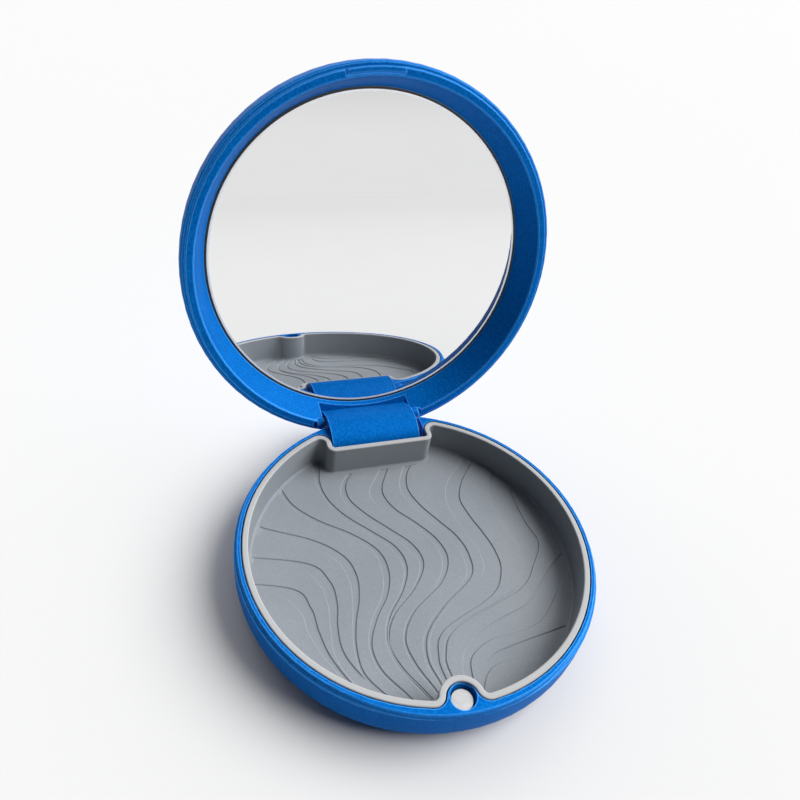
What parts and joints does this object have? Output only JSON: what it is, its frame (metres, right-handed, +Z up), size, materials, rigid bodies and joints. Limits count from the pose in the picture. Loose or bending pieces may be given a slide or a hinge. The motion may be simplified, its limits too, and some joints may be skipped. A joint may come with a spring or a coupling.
{
  "type": "hinged tray case",
  "caption": "Round blue hinged case with a soft grey wave-lined tray in the base and a round mirror in the lid, shown open.",
  "frame": {"origin": "centre of the flat foot under the base", "axes": "+Z up, +Y towards the hinge, +X along the hinge pin"},
  "size_m": [0.0952, 0.1139, 0.1],
  "materials": {
    "blue_shell": "fine matt grain",
    "grey_tray": "matt, fine grain",
    "magnet_plate": "bright nickel plate",
    "steel_pin": "drawn steel",
    "mirror_glass": "polished, silvered behind",
    "black_seal": "matt",
    "foam_tape": "matt foam",
    "white_nylon": "smooth"
  },
  "bodies": {
    "base": {"base_shell": "blue_shell", "tray_liner": "grey_tray", "catch_magnet": "magnet_plate", "hinge_block": "blue_shell", "hinge_pin": "steel_pin"},
    "lid": {"lid_shell": "blue_shell", "lid_mirror": "mirror_glass", "mirror_gasket": "black_seal", "mirror_tape": "foam_tape", "catch_tab": "blue_shell", "hinge_bushing_left": "white_nylon", "hinge_bushing_right": "white_nylon"}
  },
  "joints": [
    {"name": "lid_hinge", "type": "hinge", "parent": "base", "child": "lid", "pos_m": [0, 0.04284, 0.01189], "axis": [1, 0, 0], "range_deg": [-12, 102.4]}
  ]
}
